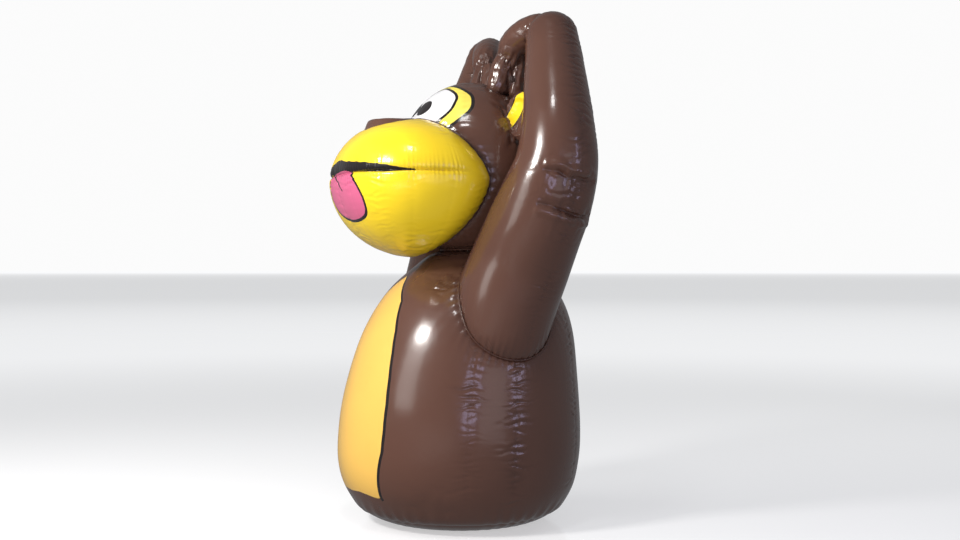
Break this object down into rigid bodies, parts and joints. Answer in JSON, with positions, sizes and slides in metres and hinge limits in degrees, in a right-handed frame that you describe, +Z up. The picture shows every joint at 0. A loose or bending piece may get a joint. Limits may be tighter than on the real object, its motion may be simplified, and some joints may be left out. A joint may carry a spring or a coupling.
{
  "type": "inflatable monkey",
  "caption": "Air-filled cartoon monkey with a rounded legless base, yellow belly panel, wide yellow muzzle with its tongue out, and its hands resting on its head.",
  "frame": {"origin": "centre of the flat patch that the figure stands on", "axes": "+Z up, the face looks along -Y, the figure's left hand is at +X"},
  "size_m": [1.8472, 1.4359, 2.8781],
  "materials": {
    "figure": "glossy brown coated fabric with printed yellow, white, pink and black areas",
    "valve": "satin dark brown moulded plastic"
  },
  "bodies": {
    "root": {"figure": "figure", "valve": "valve"}
  },
  "joints": []
}
